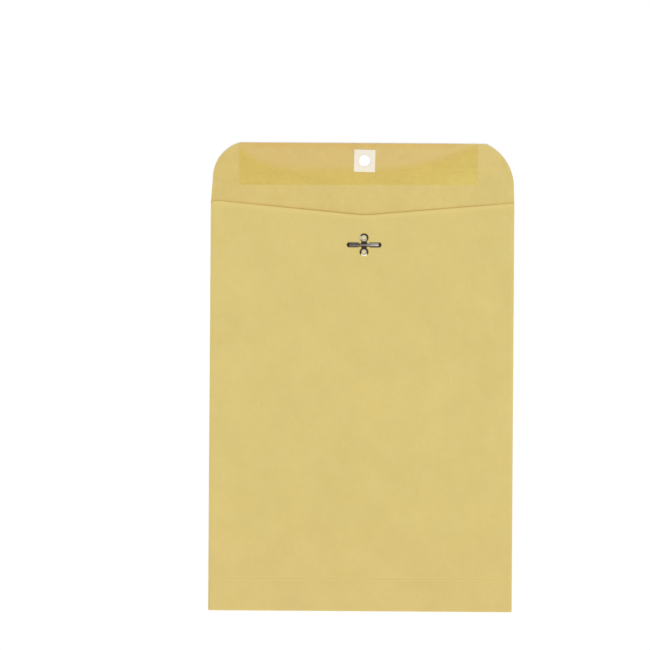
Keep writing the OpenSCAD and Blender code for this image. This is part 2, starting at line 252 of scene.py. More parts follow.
class FoldedSheet:
    """Levels, folds and edges of the folded sheet, worked out from its sizes as in the source."""

    def __init__(self, sheet, closure, clasp):
        t = sheet.thickness
        self.sizes, self.closure, self.clasp = sheet, closure, clasp
        self.shift = closure.shift
        self.half_width = sheet.pocket_width / 2
        self.bottom_y = -(sheet.pocket_height + sheet.flap_height) / 2
        self.fold_y = self.bottom_y + sheet.pocket_height
        self.tip_y = self.fold_y + sheet.flap_height
        self.hole_y = self.fold_y + closure.hole_reach
        self.clasp_y = self.fold_y - closure.clasp_reach
        self.front_z = t / 2
        self.seam_z = self.front_z + 2 * t
        self.back_z = self.seam_z + t + sheet.glue
        self.bottom_flap_z = self.back_z + t + sheet.glue
        self.left_radius = (self.seam_z - self.front_z) / 2
        self.right_radius = (self.back_z - self.front_z) / 2
        self.bottom_radius = (self.bottom_flap_z - self.front_z) / 2
        self.left_x = -self.half_width + self.left_radius + t / 2
        self.right_x = self.half_width - self.right_radius - t / 2
        self.bottom_fold_y = self.bottom_y + self.bottom_radius + t / 2
        self.throat_half = self.half_width - sheet.throat_level
        self.throat_slope = sheet.throat_depth / (self.throat_half - sheet.throat_round)
        self.seat_z = self.back_z + t / 2 + self.swell(self.shift, self.clasp_y)
        self.eyelet_ys = [self.clasp_y + side * clasp.eyelet_pitch / 2 for side in (-1, 1)]
        # Half the side of the square of the back that is meshed round each eyelet's hole
        self.window = 1.9 * clasp.eyelet_bore / 2

    def off_sides(self, x):
        """Share that is 1 in the middle and falls to 0 at the side folds, as a parabola."""
        return np.maximum(0, 1 - (x / self.half_width) ** 2)

    def swell(self, x, y):
        """Height of the swollen back: a parabola across the width times a quarter sine up it."""
        up = np.sin(math.pi / 2 * np.minimum(1, (y - self.bottom_y) / self.sizes.swell_reach))
        return self.sizes.mouth_swell * self.off_sides(x) * up

    def waves(self, x, y):
        """Slow waves of dry paper: three sines, each with a share, turns along X and Y, a phase."""
        sines = ((1.0, 61, 23, 0.7), (0.7, -38, 52, 2.1), (0.5, 97, -71, 4.0))
        return sum(share * np.sin(kx * x + ky * y + phase) for share, kx, ky, phase in sines)

    def rise(self, x, y):
        """The swell, with waves that die away at the folds and the clasp, and a shallow step.

        The step comes down off the seam strip, just past its edge, and fades out to the right.
        """
        calm_bottom, calm_clasp = 30 * MM, 18 * MM
        step, step_start, step_width, step_fade = 0.06 * MM, 1 * MM, 2.5 * MM, 40 * MM
        off_bottom = eased((y - self.bottom_y) / calm_bottom)
        clasp_squared = (x - self.shift) ** 2 + (y - self.clasp_y) ** 2
        off_clasp = 1 - np.exp(-clasp_squared / calm_clasp**2)
        strip_edge = -self.half_width + self.sizes.seam_width
        off_strip = eased((x - strip_edge + step_start) / step_width)
        fading = eased((step_fade + strip_edge - x) / step_fade)
        waves = self.sizes.wave * self.off_sides(x) * off_bottom * off_clasp * self.waves(x, y)
        return self.swell(x, y) + waves - step * off_bottom * (off_strip * fading)

    def throat(self, x):
        """Depth of the throat below the flap fold: a V with a rounded middle, level at its ends."""
        from_end = self.throat_half - np.hypot(x - self.shift, self.sizes.throat_round)
        return self.throat_slope * np.maximum(0, from_end)

    def mouth(self, x):
        """Upper edge of the back: the flap fold less the throat, on a slant up to the left."""
        slant = self.sizes.mouth_skew * (self.right_x - x) / (2 * self.half_width)
        return self.fold_y - self.throat(x) + slant

    def flap_z(self, x, y):
        """Middle of the opened seal flap, which springs up off the floor and waves a little.

        The spring is a power of the share of the way from the fold to the tip, uneven across the
        width. The part's source has the flap flat.
        """
        share = np.clip((y - self.fold_y) / self.sizes.flap_height, 0, 1)
        power, uneven = 1.6, 1 + 0.25 * np.sin(33 * x + 1.1)
        spring = self.sizes.flap_lift * share**power * uneven
        waves = 1.5 * self.sizes.wave * share * (1 + 0.5 * self.waves(x, y))
        return self.front_z + spring + waves

    def on_flap(self, plan, lift=0.0):
        """Points of a plan on the seal flap, lifted off its middle."""
        return np.dstack([plan, self.flap_z(plan[..., 0], plan[..., 1]) + lift])


# Angles of a fold through half a turn
HALF_TURN = np.radians(np.linspace(0, 180, 13))


def row_ys(sheet, end_y):
    """Rows up the pocket, a column for each end: level past the eyelets, then stretched to it."""
    low, high = sheet.eyelet_ys
    window, fine, middling, coarse = sheet.window, 1 * MM, 2 * MM, 2.8 * MM
    level = spaced(
        (sheet.bottom_fold_y, fine),
        (sheet.bottom_fold_y + 4 * MM, coarse),
        (low - window, window / 4),
        (low + window, middling),
        (high - window, window / 4),
        (high + window, middling),
        (sheet.clasp_y + 13 * MM, None),
    )
    share = 1 - (1 - np.linspace(0, 1, 9)[1:, None]) ** 2
    last = level[-1]
    stretched = last + (end_y[None, :] - last) * share
    return np.vstack([np.repeat(level[:, None], len(end_y), 1), stretched])


def column_xs(sheet, left, right):
    """Columns across the sheet, closer together at the seam strip's edge and at the eyelets."""
    strip_edge = -sheet.half_width + sheet.sizes.seam_width
    window, beside, fine, coarse = sheet.window, 3 * MM, 0.8 * MM, 2.6 * MM
    return spaced(
        (left, coarse),
        (strip_edge - beside, fine),
        (strip_edge + beside, coarse),
        (sheet.shift - window, window / 4),
        (sheet.shift + window, coarse),
        (right, None),
    )


def column_grid(x, y, z):
    """Points of one patch from its columns' x and its rows' y and z."""
    return np.stack(np.broadcast_arrays(x, y, z), -1)


def ring_patch(outline, centre, radius, rings, ease=1.0):
    """Points between a closed outline and a round hole in it.

    Each ray runs straight out from the circle to a point of the outline.
    """
    spokes = outline - centre
    inner = centre + spokes / np.linalg.norm(spokes, axis=1)[:, None] * radius
    share = np.linspace(0, 1, rings + 1)[:, None, None] ** ease
    points = inner + (outline - inner) * share
    return np.concatenate([points, points[:, :1]], 1)


def box_outline(xs, ys):
    """Closed outline of a box through its columns and rows, anticlockwise from its lower left."""
    bottom = np.stack([xs, np.full(len(xs), ys[0])], 1)
    right = np.stack([np.full(len(ys), xs[-1]), ys], 1)
    top, left = bottom[::-1] * [1, 0] + [0, ys[-1]], right[::-1] * [0, 1] + [xs[0], 0]
    return np.concatenate([bottom[:-1], right[:-1], top[:-1], left[:-1]])


def side_fold(sheet, x, radius, angles, end_y):
    """Half a turn of the sheet about a line along Y: a circle that takes up the rise."""
    xs = x + radius * np.cos(angles)
    y = row_ys(sheet, end_y)
    share = (1 + np.sin(angles)) / 2
    z = sheet.front_z + radius + radius * np.sin(angles)
    return column_grid(xs, y, z + share * sheet.rise(xs, y))


def side_folds(sheet):
    """The right fold and the left one, which comes down near its end to the seam strip's top."""
    right_end = np.full(len(HALF_TURN), sheet.fold_y)
    down = eased((HALF_TURN - math.radians(120)) / math.radians(60))
    strip_top = sheet.mouth(sheet.left_x) - sheet.sizes.seam_top_gap
    left_end = sheet.fold_y + (strip_top - sheet.fold_y) * down
    return (
        side_fold(sheet, sheet.right_x, sheet.right_radius, math.pi / 2 - HALF_TURN, right_end),
        side_fold(sheet, sheet.left_x, sheet.left_radius, -math.pi / 2 - HALF_TURN, left_end),
    )


def seam_strip(sheet):
    """Strip under the back's raw edge, from the left fold in."""
    xs = spaced((sheet.left_x, 2.4 * MM), (-sheet.half_width + sheet.sizes.seam_width, None))
    y = row_ys(sheet, sheet.mouth(xs) - sheet.sizes.seam_top_gap)
    return column_grid(xs, y, sheet.seam_z + sheet.rise(xs, y))


def bottom_flap(sheet, xs):
    """Half a turn about the bottom fold, then flat over the back, drawing in to its free edge."""
    s = sheet.sizes
    free_edge = sheet.bottom_y + s.bottom_flap_height
    at_fold, coarse, at_edge = 1 * MM, 2.5 * MM, 0.5 * MM
    flat = spaced(
        (sheet.bottom_fold_y, at_fold),
        (sheet.bottom_fold_y + 4 * MM, coarse),
        (free_edge - 2 * MM, at_edge),
        (free_edge, None),
    )[1:]
    radius = sheet.bottom_radius
    ys = np.concatenate([sheet.bottom_fold_y - radius * np.sin(HALF_TURN), flat])
    round_zs = sheet.front_z + radius * (1 - np.cos(HALF_TURN))
    zs = np.concatenate([round_zs, np.full(len(flat), sheet.bottom_flap_z)])
    taken = np.concatenate([(1 - np.cos(HALF_TURN)) / 2, np.ones(len(flat))])[:, None]
    out = np.clip((ys - sheet.bottom_fold_y) / (s.bottom_flap_height - radius), 0, 1)
    taper = 1 - s.bottom_flap_taper / (sheet.half_width - s.bottom_flap_inset) * out
    xs = xs * taper[:, None]
    return column_grid(xs, ys[:, None], zs[:, None] + taken * sheet.rise(xs, ys[:, None]))


def flap_corner(sheet, radius, rise, lean):
    """Right side and corner of the seal flap: a leaning side, then an arc cut off by the top."""
    side_x = sheet.half_width - sheet.sizes.flap_inset
    centre_y = max(sheet.fold_y + rise, sheet.tip_y - radius)
    angles = np.linspace(0, math.asin((sheet.tip_y - centre_y) / radius), 25)
    arc_x = side_x - lean + radius * (np.cos(angles) - 1)
    arc = np.stack([arc_x, centre_y + radius * np.sin(angles)], 1)
    start = np.array([side_x, sheet.fold_y])
    side = start + (arc[0] - start) * np.linspace(0, 1, 9)[:-1, None]
    return np.concatenate([side, arc])


def flap_outline(sheet, fold_xs):
    """Closed outline of the seal flap: the fold, its right side, the top and its left side."""
    fold = np.stack([fold_xs, np.full(len(fold_xs), sheet.fold_y)], 1)
    s = sheet.sizes
    right = flap_corner(sheet, s.flap_right_radius, s.flap_right_rise, s.flap_right_lean)
    left = flap_corner(sheet, s.flap_left_radius, s.flap_left_rise, s.flap_left_lean)
    left = left[::-1] * [-1, 1]
    top = right[-1] + (left[0] - right[-1]) * np.linspace(0, 1, 81)[1:-1, None]
    return np.concatenate([fold[:-1], right, top, left[:-1]])


def eyelet_windows(sheet, back):
    """Squares of the back with a hole under each eyelet, and which of the back's quads stay."""
    clasp, window = sheet.clasp, sheet.window
    stations = np.linspace(-window, window, 9)
    hole = clasp.eyelet_bore / 2 + clasp.tin + clasp.paper_gap
    centres = (back[:-1, :-1] + back[1:, 1:]) / 2
    across = abs(centres[..., 0] - sheet.shift) < window
    windows, kept = [], np.ones(across.shape, bool)
    for middle in sheet.eyelet_ys:
        outline = box_outline(sheet.shift + stations, middle + stations)
        plan = ring_patch(outline, np.array([sheet.shift, middle]), hole, 4)
        x, y = plan[..., 0], plan[..., 1]
        windows.append(column_grid(x, y, sheet.back_z + sheet.rise(x, y)))
        kept &= ~(across & (abs(centres[..., 1] - middle) < window))
    return windows, kept


def sheet_patches(sheet):
    """Patches of the sheet's middle surface, which share the points of their common borders.

    The last one is the back, and with them comes which of its quads stay.
    """
    s = sheet.sizes
    flap_side = sheet.half_width - s.flap_inset
    bottom_side = sheet.half_width - s.bottom_flap_inset
    xs = column_xs(sheet, -sheet.half_width + s.seam_inset, sheet.right_x)
    y = row_ys(sheet, sheet.mouth(xs))
    back = column_grid(xs, y, sheet.back_z + sheet.rise(xs, y))

    sides = [sheet.left_x, sheet.right_x, -flap_side, flap_side, -bottom_side, bottom_side]
    narrow = min(flap_side, bottom_side)
    shared = np.unique(np.concatenate([column_xs(sheet, -narrow, narrow), sides]))
    front_xs = shared[(shared >= sheet.left_x) & (shared <= sheet.right_x)]
    flap_xs, bottom_xs = (shared[abs(shared) <= side] for side in (flap_side, bottom_side))
    front_ys = row_ys(sheet, np.full(len(front_xs), sheet.fold_y))
    front = column_grid(front_xs, front_ys, sheet.front_z)

    hole, hole_radius = np.array([sheet.shift, sheet.hole_y]), sheet.closure.hole_diameter / 2
    flap_plan = ring_patch(flap_outline(sheet, flap_xs), hole, hole_radius, 22, 1.25)
    right, left = side_folds(sheet)
    windows, kept = eyelet_windows(sheet, back)
    pocket = [right, front, left, seam_strip(sheet), bottom_flap(sheet, bottom_xs)]
    return [*pocket, sheet.on_flap(flap_plan), *windows, back], kept


def turn_matrix(turn):
    """Matrix that turns points, written as rows, anticlockwise about the origin."""
    return np.array([[math.cos(turn), math.sin(turn)], [-math.sin(turn), math.cos(turn)]])


def patch_plan(sheet):
    """Plan of the patch: rays from its hole to a square outline, turned about the hole."""
    c = sheet.closure
    xs = np.linspace(-c.patch_width / 2, c.patch_width / 2, 17)
    ys = np.linspace(-c.patch_height / 2, c.patch_height / 2, 17)
    plan = ring_patch(box_outline(xs, ys), np.zeros(2), c.hole_diameter / 2, 6)
    return plan @ turn_matrix(-c.patch_turn) + [sheet.shift, sheet.hole_y]


# The gum's upper edge climbs by these powers of the share of the way to its left and right end
GUM_LEFT_POWER, GUM_RIGHT_POWER = 5.0, 2.3


def gum_edge(sheet, x):
    """Upper edge of the gum: level in its middle, and up by a power of x towards each end."""
    c = sheet.closure
    u = (x + c.gum_shift) / (c.gum_width / 2)
    left = c.gum_left_rise * abs(u) ** GUM_LEFT_POWER
    right = c.gum_right_rise * abs(u) ** GUM_RIGHT_POWER
    return sheet.fold_y + c.gum_from_fold + c.gum_middle + np.where(u < 0, left, right)


def gum_plans(sheet):
    """Plans of the gum: a strip below the patch, and one on each side up to the upper edge.

    Near the patch the points shear by x + slope (y - hole y) and y - slope (x - hole x), so the
    notch in the band follows the turned patch. Then the band is turned about the middle of its
    lower edge.
    """
    c = sheet.closure
    coarse, fine, shear_fade, touch = 2.4 * MM, 1.4 * MM, 8 * MM, 1e-9
    bottom = sheet.fold_y + c.gum_from_fold
    pivot, turned = np.array([-c.gum_shift, bottom]), turn_matrix(c.gum_turn)
    hole_x, hole_y = pivot + (np.array([sheet.shift, sheet.hole_y]) - pivot) @ turned.T
    slope = math.tan(c.patch_turn + c.gum_turn)
    notch = c.patch_width / 2 + c.gum_patch_gap
    left, right = -c.gum_shift - c.gum_width / 2, -c.gum_shift + c.gum_width / 2

    def sheared(x, y):
        fading = 1 - eased((abs(x - hole_x) - notch) / shear_fade)
        return x + slope * (y - hole_y) * fading

    def top_edge(x):
        below_tip = sheet.tip_y - c.gum_top_gap - math.tan(c.gum_turn) * (x - left)
        return np.minimum(gum_edge(sheet, x), below_tip)

    xs = spaced((left, coarse), (hole_x - notch, fine), (hole_x + notch, coarse), (right, None))
    level = hole_y - c.patch_height / 2 - c.gum_patch_gap
    level = level - slope * np.clip(xs - hole_x, -notch, notch)
    foot = np.stack([xs, np.full(len(xs), bottom)], 1)
    border = np.stack([sheared(xs, level), level], 1)
    top_xs = sheared(xs, top_edge(xs))
    top = np.stack([top_xs, top_edge(top_xs)], 1)
    climb = np.linspace(0, 1, 25)[:, None, None]
    flats = [foot + (border - foot) * np.linspace(0, 1, 9)[:, None, None]]
    for beside in (xs < hole_x - notch + touch, xs > hole_x + notch - touch):
        flats.append(border[beside] + (top - border)[beside] * climb)
    return [pivot + (flat - pivot) @ turned for flat in flats]


def gum_shares(sheet, x, y):
    """Shares of the gum's points: thin at its upper edge, and thick towards its lower right."""
    c = sheet.closure
    thick_depth, thick_width, least = 20 * MM, 180 * MM, 0.25
    pivot = np.array([-c.gum_shift, sheet.fold_y + c.gum_from_fold])
    flat = pivot + (np.stack([x, y], 1) - pivot) @ turn_matrix(-c.gum_turn)
    below = gum_edge(sheet, flat[:, 0]) - flat[:, 1]
    rightward = least + (1 - least) * np.clip(0.5 + flat[:, 0] / thick_width, 0, 1)
    thick = (below - c.gum_fade / 2) / thick_depth * rightward
    return {"thin": 1 - eased(below / c.gum_fade), "thick": thick}


def bead_height(distance, width, rise):
    """Rise of a pressed bead at a distance from its middle line: a raised cosine."""
    return rise * 0.5 * (1 + np.cos(math.pi * np.clip(distance / (width / 2), 0, 1)))


def eyelet_profile(clasp, thickness):
    """Middle line of an eyelet's wall, as radius and height.

    It runs from the clinched edge up the barrel, then over the rolled rim, out and down.
    """
    half, bore = clasp.tin / 2, clasp.eyelet_bore / 2
    bend, roll_end = 1.2 * half, math.radians(14)
    clinch_z = -thickness - clasp.paper_gap - half
    clinch = np.array([[bore + clasp.clinch_width - half, clinch_z]])
    turn = np.linspace(0, math.pi / 2, 5)
    bend_x = bore + half - clasp.eyelet_draw + bend * (1 - np.sin(turn))
    inner_bend = np.stack([bend_x, clinch_z + bend * (1 - np.cos(turn))], 1)
    roll_radius = clasp.rim_width / 2 - half
    rolled = np.linspace(math.pi, roll_end, 17)
    rim_x = bore + clasp.rim_width / 2 + roll_radius * np.cos(rolled)
    rim = np.stack([rim_x, roll_radius * np.sin(rolled)], 1)
    return np.concatenate([clinch, inner_bend, rim])


def middle_plate(sheet, ends, rim_z):
    """Beaded plate between the rims, as wide as the neck at them and wider between the prongs.

    ends are the points where the lower rim meets it, seen from that eyelet's middle. The upper
    rim mirrors them.
    """
    clasp = sheet.clasp
    corner, step = 0.25 * MM, 0.1 * MM
    side_x = clasp.crease_pitch / 2 - clasp.tin / 2 - clasp.crease_gap
    half_pitch, middle_half = clasp.eyelet_pitch / 2, clasp.crease_width / 2
    inner = spaced((-middle_half - 2 * corner, step), (middle_half + 2 * corner, None))
    widen = eased((middle_half + corner - abs(inner)) / corner)
    scale = 1 + (side_x / (clasp.neck_width / 2) - 1) * widen
    climb = np.linspace(0, 1, 6)[:-1, None]
    neck = np.repeat(ends[None, :, 0], len(climb), 0)
    xs = np.vstack([neck, ends[None, :, 0] * scale[:, None], neck])
    lower, upper = -half_pitch + ends[:, 1], half_pitch - ends[:, 1]
    lower_ys = lower + (inner[0] - lower) * climb
    upper_ys = upper + (inner[-1] - upper) * climb[::-1]
    ys = np.vstack([lower_ys, np.repeat(inner[:, None], len(ends), 1), upper_ys])
    bead_half = side_x - clasp.middle_bead_width / 2
    distance = np.hypot(np.maximum(0, abs(xs) - bead_half), ys)
    bead = bead_height(distance, clasp.middle_bead_width, clasp.bead_rise)
    z = sheet.seat_z + clasp.tin / 2 + bead
    z[[0, -1]] = sheet.seat_z + rim_z
    return column_grid(sheet.shift + xs, sheet.clasp_y + ys, z)


def clasp_patches(sheet):
    """Patches of the clasp's middle: an eyelet turned about each hole, and the plate between."""
    clasp = sheet.clasp
    profile = eyelet_profile(clasp, sheet.sizes.thickness)
    rim_radius, rim_z = profile[-1]
    spread = math.asin(clasp.neck_width / 2 / rim_radius)
    across = np.linspace(-spread, spread, 13)
    rest = np.linspace(spread, 2 * math.pi - spread, 45)[1:-1]
    angles = np.concatenate([across, rest, across[:1]])
    patches = []
    for side, middle in zip((-1, 1), sheet.eyelet_ys):
        x = sheet.shift + profile[:, :1] * np.sin(angles)
        y = middle - side * profile[:, :1] * np.cos(angles)
        patches.append(column_grid(x, y, sheet.seat_z + profile[:, 1:]))
    ends = rim_radius * np.stack([np.sin(across), np.cos(across)], 1)
    return [*patches, middle_plate(sheet, ends, rim_z)]


def prong_outline(clasp):
    """Closed outline of a prong along +X from its crease: notched sides, a flare, a round tip."""
    tip = clasp.prong_width / 2
    half = clasp.crease_width / 2
    flare = tip - half
    end = clasp.prong_length - tip
    flared_x = clasp.notch_length + flare
    crease = np.stack([np.zeros(11), np.linspace(half, -half, 11)], 1)
    notch = np.stack([np.linspace(0, clasp.notch_length, 6), np.full(6, -half)], 1)
    share = np.linspace(0, 1, 9)
    flared = np.stack([clasp.notch_length + flare * share, -half - flare * eased(share)], 1)
    side = np.stack([np.linspace(flared_x, end, 22), np.full(22, -tip)], 1)
    angles = np.linspace(-math.pi / 2, 0, 13)
    arc = np.stack([end + tip * np.cos(angles), tip * np.sin(angles)], 1)
    lower = np.concatenate([crease[5:-1], notch[:-1], flared[:-1], side[:-1], arc])
    return np.concatenate([lower[:-1], (lower * [1, -1])[:0:-1]])


def prong_patch(sheet, side):
    """Middle surface of a prong: rays from its middle line to its outline, raised by the bead.

    Their points are closer together near the edge.
    """
    clasp = sheet.clasp
    outline = prong_outline(clasp)
    start = clasp.bead_from_crease + clasp.bead_width / 2
    end = clasp.prong_length - clasp.prong_width / 2
    foot = np.stack([np.clip(outline[:, 0], start, end), np.zeros(len(outline))], 1)
    edge_from = 0.66
    share = np.concatenate([np.linspace(0, edge_from, 12), np.linspace(edge_from, 1, 6)[1:]])
    plan = foot + (outline - foot) * share[:, None, None]
    plan = np.concatenate([plan, plan[:, :1]], 1)
    distance = np.hypot(plan[..., 0] - np.clip(plan[..., 0], start, end), plan[..., 1])
    base = sheet.seat_z + clasp.crease_gap + clasp.tin / 2
    z = base + bead_height(distance, clasp.bead_width, clasp.bead_rise)
    x = sheet.shift + side * (clasp.crease_pitch / 2 + plan[..., 0])
    return column_grid(x, sheet.clasp_y + plan[..., 1], z)


# ---------------------------------------------------------------------------------------------
# Meshes
# ---------------------------------------------------------------------------------------------


def grid_quads(rows, columns, first, kept=None):
    """Corner numbers of a grid's quads, where the grid's points are numbered row by row."""
    i, j = np.meshgrid(np.arange(rows - 1), np.arange(columns - 1), indexing="ij")
    corner = first + i * columns + j
    quads = np.stack([corner, corner + 1, corner + columns + 1, corner + columns], -1)
    return quads.reshape(-1, 4) if kept is None else quads[kept]


# Points closer than this are one point
MERGE = 2e-6


def new_piece(name, grids, thickness, kept=None, edge_round=0.0):
    """Object made of grids of points, whose shared borders are merged, thickened to a sheet.

    kept says which quads of the last grid stay.
    """
    points = np.concatenate([g.reshape(-1, 3) for g in grids])
    quads, first = [], 0
    for grid in grids:
        mask = kept if grid is grids[-1] else None
        quads.append(grid_quads(grid.shape[0], grid.shape[1], first, mask))
        first += grid.shape[0] * grid.shape[1]
    mesh = bpy.data.meshes.new(name)
    mesh.from_pydata(points.tolist(), [], np.concatenate(quads).tolist())
    work = bmesh.new()
    work.from_mesh(mesh)
    bmesh.ops.remove_doubles(work, verts=work.verts, dist=MERGE)
    bmesh.ops.dissolve_degenerate(work, edges=work.edges, dist=MERGE / 4)
    bmesh.ops.recalc_face_normals(work, faces=work.faces)
    work.to_mesh(mesh)
    work.free()
    mesh.polygons.foreach_set("use_smooth", np.ones(len(mesh.polygons), bool))
    piece = bpy.data.objects.new(name, mesh)
    bpy.context.scene.collection.objects.link(piece)
    thicken(piece, thickness, edge_round)
    return piece


def thicken(piece, thickness, edge_round):
    """Gives a surface its thickness, rounds its cut edges, applies both, marks sharp edges."""
    cut_angle, sharp_angle = math.radians(60), math.radians(38)
    wall = piece.modifiers.new("Wall", "SOLIDIFY")
    wall.thickness = thickness
    wall.offset = 0
    wall.use_even_offset = True
    wall.use_quality_normals = True
    if edge_round:
        rounding = piece.modifiers.new("Edge", "BEVEL")
        rounding.width = edge_round
        rounding.segments = 2
        rounding.limit_method = "ANGLE"
        rounding.angle_limit = cut_angle
    graph = bpy.context.evaluated_depsgraph_get()
    mesh = bpy.data.meshes.new_from_object(piece.evaluated_get(graph))
    flat = piece.data
    piece.modifiers.clear()
    piece.data = mesh
    bpy.data.meshes.remove(flat)
    mesh.name = piece.name
    mesh.set_sharp_from_angle(angle=sharp_angle)


def mesh_points(piece):
    """The x, y and z of all points of a piece."""
    points = np.empty(len(piece.data.vertices) * 3)
    piece.data.vertices.foreach_get("co", points)
    return points.reshape(-1, 3).T


def set_shares(piece, shares):
    """Writes named shares from 0 to 1 for the points of a piece, which its material reads."""
    for name, values in shares.items():
        layer = piece.data.attributes.new(name, "FLOAT", "POINT")
        layer.data.foreach_set("value", np.clip(values, 0, 1).astype(np.float32))


def finish_piece(piece, material, body, node):
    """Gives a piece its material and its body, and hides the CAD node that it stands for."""
    piece.data.materials.clear()
    piece.data.materials.append(material)
    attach(piece, body)
    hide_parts(node)


# ---------------------------------------------------------------------------------------------
# Materials
# ---------------------------------------------------------------------------------------------


# Tints, which a colour is multiplied by where they are full
DRIFT = (1.028, 1.06, 1.113)
WARM = (1.0, 0.968, 0.89)
TIP_SHADE = (0.995, 0.93, 0.84)
BLOTCH = (0.94, 0.935, 0.915)
MOUTH_SHADE = (0.985, 0.92, 0.85)
BORE_GLOW = (1.13, 1.30, 1.95)
LOWER_BACK = (1.0, 0.967, 0.995)
# Painted shade on the back's outside along the mouth
MOUTH_BORDER_SHADE = (0.985, 0.90, 0.82)
LEFT_GUM = (1.0, 0.99, 0.955)
GUM_CLOUD = (0.9, 0.9, 0.9)
GUM_FIBRE = (0.85, 0.85, 0.85)


def is_output(value):
    """Whether a value is another node's output."""
    return isinstance(value, bpy.types.NodeSocket)


def opaque(tone):
    """A colour as a node takes it: an output, or three channels with an alpha of 1."""
    return tone if is_output(tone) else (*tone, 1)


class Nodes:
    """A node tree whose nodes are added one by one. An input is a value or a node's output."""

    def __init__(self, tree):
        self.tree = tree

    def add(self, kind, inputs=None, **settings):
        """Adds a shader node of a kind, with its settings and inputs."""
        node = self.tree.nodes.new("ShaderNode" + kind)
        for name, value in settings.items():
            setattr(node, name, value)
        for name, value in (inputs or {}).items():
            self.feed(node.inputs[name], value)
        return node

    def feed(self, socket, value):
        """Links an output to an input, or writes a value there."""
        if is_output(value):
            self.tree.links.new(value, socket)
        else:
            socket.default_value = value

    def math(self, operation, first, second=0.0):
        """One step of arithmetic."""
        return self.add("Math", {0: first, 1: second}, operation=operation).outputs[0]

    def span(self, value, low, high, new_low=0.0, new_high=1.0):
        """Maps a value from one range to another, without leaving the new one."""
        ends = {"From Min": low, "From Max": high, "To Min": new_low, "To Max": new_high}
        return self.add("MapRange", {"Value": value, **ends}).outputs[0]


class Recipe(Nodes):
    """A material, whose marks lie in its piece's own coordinates."""

    def __init__(self, name):
        self.material = bpy.data.materials.new(name)
        self.material.use_nodes = True
        super().__init__(self.material.node_tree)
        self.shader = self.tree.nodes["Principled BSDF"]
        self.place = self.add("TexCoord").outputs["Object"]

    def surface(self, inputs):
        """Feeds the inputs of the material's shader, and returns the material."""
        for name, value in inputs.items():
            self.feed(self.shader.inputs[name], value)
        return self.material

    def noise(self, size, detail=2.0, roughness=0.5, squeeze=(1, 1, 1), turn=0.0):
        """Noise from 0 to 1. Its marks are about size metres, divided along an axis by squeeze."""
        place = {"Vector": self.place, "Scale": squeeze, "Rotation": (0, 0, turn)}
        marks = {"Scale": 1 / size, "Detail": detail, "Roughness": roughness}
        mapped = self.add("Mapping", place).outputs[0]
        return self.add("TexNoise", {"Vector": mapped, **marks}).outputs[0]

    def blend(self, kind, share, first, second):
        """Colour that goes by a share from the first towards their blend."""
        inputs = {0: share, 6: opaque(first), 7: opaque(second)}
        return self.add("Mix", inputs, data_type="RGBA", blend_type=kind).outputs[2]

    def mix(self, share, first, second):
        """Colour between two colours."""
        return self.blend("MIX", share, first, second)

    def tinted(self, base, share, tint):
        """Multiplies a colour by a tint, as far as the share says."""
        return self.blend("MULTIPLY", share, base, tint)

    def lighter(self, base, factor):
        """A colour times a factor."""
        return self.add("HueSaturation", {"Color": base, "Value": factor}).outputs[0]

    def axis(self, index):
        """Coordinate along an axis: 0 is X, 1 is Y and 2 is Z."""
        return self.add("SeparateXYZ", {0: self.place}).outputs[index]

    def across(self, start, end, axis=0):
        """Share that grows from 0 to 1 along an axis, from start to end."""
        return self.span(self.axis(axis), start, end)

    def share(self, name):
        """A share that the piece's points carry."""
        return self.add("Attribute", attribute_name=name).outputs["Fac"]

    def bump(self, height, distance, strength=1.0, normal=None):
        """Relief of a height whose full depth is distance metres."""
        node = self.add("Bump", {"Height": height, "Distance": distance, "Strength": strength})
        if normal is not None:
            self.feed(node.inputs["Normal"], normal)
        return node.outputs[0]


def shaded(rgb, factor):
    """A colour made lighter or darker by a factor."""
    return tuple(min(1.0, channel * factor) for channel in rgb)


def mouth_distance(r, sheet):
    """Distance up from the mouth, as in FoldedSheet.mouth but worked out by the material."""
    x = r.axis(0)
    off_squared = r.math("POWER", r.math("SUBTRACT", x, sheet.shift), 2.0)
    reach = r.math("SQRT", r.math("ADD", off_squared, sheet.sizes.throat_round**2))
    from_end = r.math("MAXIMUM", r.math("SUBTRACT", sheet.throat_half, reach), 0.0)
    throat = r.math("MULTIPLY", from_end, sheet.throat_slope)
    skew = sheet.sizes.mouth_skew / (2 * sheet.half_width)
    slant = r.math("MULTIPLY", r.math("SUBTRACT", sheet.right_x, x), skew)
    level = r.math("SUBTRACT", r.math("ADD", slant, sheet.fold_y), throat)
    return r.math("SUBTRACT", r.axis(1), level)


def gum_distance(r, sheet):
    """Distance up from the gum's upper edge, as in gum_edge but worked out by the material."""
    c = sheet.closure
    half = c.gum_width / 2
    u = r.math("DIVIDE", r.math("ADD", r.axis(0), c.gum_shift), half)
    leftward = r.math("MAXIMUM", r.math("MULTIPLY", u, -1.0), 0.0)
    left = r.math("MULTIPLY", r.math("POWER", leftward, GUM_LEFT_POWER), c.gum_left_rise)
    rightward = r.math("POWER", r.math("MAXIMUM", u, 0.0), GUM_RIGHT_POWER)
    right = r.math("MULTIPLY", rightward, c.gum_right_rise)
    right = r.math("ADD", right, r.math("MULTIPLY", u, math.tan(c.gum_turn) * half))
    middle = sheet.fold_y + c.gum_from_fold + c.gum_middle
    level = r.math("ADD", r.math("ADD", left, right), middle)
    return r.math("SUBTRACT", r.axis(1), level)


def under_bores(r, sheet):
    """Share of the paper under the two open eyelets, which stands in for light off the tin."""
    bore, fade = sheet.clasp.eyelet_bore / 2, 0.4 * MM
    across = r.math("SUBTRACT", r.axis(0), sheet.shift)
    along = r.math("ABSOLUTE", r.math("SUBTRACT", r.axis(1), sheet.clasp_y))
    along = r.math("SUBTRACT", along, sheet.clasp.eyelet_pitch / 2)
    squares = r.math("ADD", r.math("POWER", across, 2.0), r.math("POWER", along, 2.0))
    return r.span(r.math("SQRT", squares), bore, bore + fade, 1.0, 0.0)


